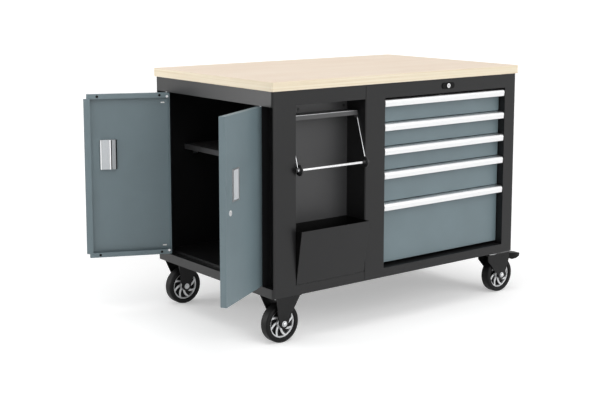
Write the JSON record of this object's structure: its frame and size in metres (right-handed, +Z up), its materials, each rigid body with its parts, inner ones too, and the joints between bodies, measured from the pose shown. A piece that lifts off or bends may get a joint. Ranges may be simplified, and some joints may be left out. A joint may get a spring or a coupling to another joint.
{
  "type": "mobile workbench",
  "caption": "Rolling steel workbench with a plywood worktop, a double-door tool cupboard, a recess with paper holder and bin, drawers and castors.",
  "frame": {"origin": "on the floor under the middle of the cabinet's plan", "axes": "+X along the bench from the door end to the drawer end, +Z up, and the drawers open to -Y"},
  "size_m": [1.5793, 0.8899, 0.917],
  "materials": {
    "plywood": "clear lacquered birch plywood",
    "black_steel": "black powder coat, fine texture",
    "slate_steel": "blue-grey powder coat",
    "aluminium": "anodised, satin",
    "zinc_steel": "zinc plated",
    "chrome": "polished",
    "black_plastic": "satin moulded black",
    "tyre": "matt black",
    "rim_silver": "silver moulding"
  },
  "bodies": {
    "cabinet": {"worktop": "plywood", "base_tray": "black_steel", "door_cabinet": "black_steel", "recess_liner": "black_steel", "drawer_cabinet": "black_steel", "drawer_side_panels": "black_steel", "shelf": "black_steel", "shelf_clips": "zinc_steel", "slide_outer_rails": "zinc_steel", "door_hinge_pins": "zinc_steel", "swivel_castor_plates": "black_steel", "fixed_castor_brackets": "black_steel", "fixed_castor_axles": "zinc_steel", "drawer_lock_bezel": "black_plastic", "paper_bracket": "black_steel"},
    "front_door_leaf": {"front_door": "slate_steel", "front_door_pull": "aluminium"},
    "rear_door_leaf": {"rear_door": "slate_steel", "rear_door_pull": "aluminium"},
    "door_lock": {"door_lock_barrel": "chrome", "door_lock_cam": "zinc_steel"},
    "drawer_lock": {"drawer_lock_barrel": "chrome"},
    "paper_arm_pair": {"paper_arms": "zinc_steel"},
    "paper_bar": {"paper_rod": "chrome", "paper_discs": "black_plastic"},
    "waste_bin": {"bin": "black_steel"},
    "drawer_1_box": {"drawer_1": "slate_steel", "drawer_handle_1": "aluminium", "slide_inner_1": "zinc_steel"},
    "middle_slides_1": {"slide_middle_1": "zinc_steel"},
    "drawer_2_box": {"drawer_2": "slate_steel", "drawer_handle_2": "aluminium", "slide_inner_2": "zinc_steel"},
    "middle_slides_2": {"slide_middle_2": "zinc_steel"},
    "drawer_3_box": {"drawer_3": "slate_steel", "drawer_handle_3": "aluminium", "slide_inner_3": "zinc_steel"},
    "middle_slides_3": {"slide_middle_3": "zinc_steel"},
    "drawer_4_box": {"drawer_4": "slate_steel", "drawer_handle_4": "aluminium", "slide_inner_4": "zinc_steel"},
    "middle_slides_4": {"slide_middle_4": "zinc_steel"},
    "drawer_5_box": {"drawer_5": "slate_steel", "drawer_handle_5": "aluminium", "slide_inner_5": "zinc_steel"},
    "middle_slides_5": {"slide_middle_5": "zinc_steel"},
    "front_fixed_wheel": {"front_fixed_tyre": "tyre", "front_fixed_rim": "rim_silver"},
    "front_fork": {"front_castor_fork": "black_steel", "front_castor_axle": "zinc_steel"},
    "front_swivel_wheel": {"front_castor_tyre": "tyre", "front_castor_rim": "rim_silver"},
    "front_pedal": {"front_brake_pedal": "black_steel"},
    "rear_fixed_wheel": {"rear_fixed_tyre": "tyre", "rear_fixed_rim": "rim_silver"},
    "rear_fork": {"rear_castor_fork": "black_steel", "rear_castor_axle": "zinc_steel"},
    "rear_swivel_wheel": {"rear_castor_tyre": "tyre", "rear_castor_rim": "rim_silver"},
    "rear_pedal": {"rear_brake_pedal": "black_steel"}
  },
  "joints": [
    {"name": "front_door_hinge", "type": "hinge", "parent": "cabinet", "child": "front_door_leaf", "pos_m": [-0.59, -0.302, 0.52], "axis": [0, 0, 1], "range_deg": [-121, 4]},
    {"name": "rear_door_hinge", "type": "hinge", "parent": "cabinet", "child": "rear_door_leaf", "pos_m": [-0.59, 0.302, 0.52], "axis": [0, 0, -1], "range_deg": [-114, 11]},
    {"name": "door_lock_turn", "type": "hinge", "parent": "front_door_leaf", "child": "door_lock", "pos_m": [-0.81929, -0.43977, 0.515], "axis": [-0.515, 0.8572, 0], "range_deg": [0, 90]},
    {"name": "drawer_lock_turn", "type": "hinge", "parent": "cabinet", "child": "drawer_lock", "pos_m": [0.219, -0.375, 0.8585], "axis": [0, 1, 0], "range_deg": [0, 90]},
    {"name": "paper_arm_swing", "type": "hinge", "parent": "cabinet", "child": "paper_arm_pair", "pos_m": [-0.343, -0.331, 0.7802], "axis": [-1, 0, 0], "range_deg": [0, 70]},
    {"name": "paper_rod_spin", "type": "hinge", "parent": "paper_arm_pair", "child": "paper_bar", "pos_m": [-0.343, -0.3833, 0.612], "axis": [1, 0, 0], "continuous": true},
    {"name": "bin_slide", "type": "slide", "parent": "cabinet", "child": "waste_bin", "axis": [0, -1, 0], "range_m": [0, 0.13]},
    {"name": "drawer_1_slide", "type": "slide", "parent": "cabinet", "child": "drawer_1_box", "axis": [0, -1, 0], "range_m": [0, 0.56]},
    {"name": "middle_slide_1", "type": "slide", "parent": "cabinet", "child": "middle_slides_1", "axis": [0, -1, 0], "range_m": [0, 0.28]},
    {"name": "drawer_2_slide", "type": "slide", "parent": "cabinet", "child": "drawer_2_box", "axis": [0, -1, 0], "range_m": [0, 0.56]},
    {"name": "middle_slide_2", "type": "slide", "parent": "cabinet", "child": "middle_slides_2", "axis": [0, -1, 0], "range_m": [0, 0.28]},
    {"name": "drawer_3_slide", "type": "slide", "parent": "cabinet", "child": "drawer_3_box", "axis": [0, -1, 0], "range_m": [0, 0.56]},
    {"name": "middle_slide_3", "type": "slide", "parent": "cabinet", "child": "middle_slides_3", "axis": [0, -1, 0], "range_m": [0, 0.28]},
    {"name": "drawer_4_slide", "type": "slide", "parent": "cabinet", "child": "drawer_4_box", "axis": [0, -1, 0], "range_m": [0, 0.56]},
    {"name": "middle_slide_4", "type": "slide", "parent": "cabinet", "child": "middle_slides_4", "axis": [0, -1, 0], "range_m": [0, 0.28]},
    {"name": "drawer_5_slide", "type": "slide", "parent": "cabinet", "child": "drawer_5_box", "axis": [0, -1, 0], "range_m": [0, 0.56]},
    {"name": "middle_slide_5", "type": "slide", "parent": "cabinet", "child": "middle_slides_5", "axis": [0, -1, 0], "range_m": [0, 0.28]},
    {"name": "front_fixed_wheel_spin", "type": "hinge", "parent": "cabinet", "child": "front_fixed_wheel", "pos_m": [-0.523, -0.314, 0.07], "axis": [0, 1, 0], "continuous": true},
    {"name": "front_castor_swivel", "type": "hinge", "parent": "cabinet", "child": "front_fork", "pos_m": [0.523, -0.314, 0.175], "axis": [0, 0, 1], "continuous": true},
    {"name": "front_swivel_wheel_spin", "type": "hinge", "parent": "front_fork", "child": "front_swivel_wheel", "pos_m": [0.573, -0.314, 0.07], "axis": [0, 1, 0], "continuous": true},
    {"name": "front_brake_press", "type": "hinge", "parent": "front_fork", "child": "front_pedal", "pos_m": [0.575, -0.314, 0.147], "axis": [0, 1, 0], "range_deg": [0, 7]},
    {"name": "rear_fixed_wheel_spin", "type": "hinge", "parent": "cabinet", "child": "rear_fixed_wheel", "pos_m": [-0.523, 0.314, 0.07], "axis": [0, 1, 0], "continuous": true},
    {"name": "rear_castor_swivel", "type": "hinge", "parent": "cabinet", "child": "rear_fork", "pos_m": [0.523, 0.314, 0.175], "axis": [0, 0, 1], "continuous": true},
    {"name": "rear_swivel_wheel_spin", "type": "hinge", "parent": "rear_fork", "child": "rear_swivel_wheel", "pos_m": [0.573, 0.314, 0.07], "axis": [0, 1, 0], "continuous": true},
    {"name": "rear_brake_press", "type": "hinge", "parent": "rear_fork", "child": "rear_pedal", "pos_m": [0.575, 0.314, 0.147], "axis": [0, 1, 0], "range_deg": [0, 7]}
  ],
  "couplings": [
    {"joint": "middle_slide_1", "follows": "drawer_1_slide", "ratio": 0.5},
    {"joint": "middle_slide_2", "follows": "drawer_2_slide", "ratio": 0.5},
    {"joint": "middle_slide_3", "follows": "drawer_3_slide", "ratio": 0.5},
    {"joint": "middle_slide_4", "follows": "drawer_4_slide", "ratio": 0.5},
    {"joint": "middle_slide_5", "follows": "drawer_5_slide", "ratio": 0.5}
  ]
}
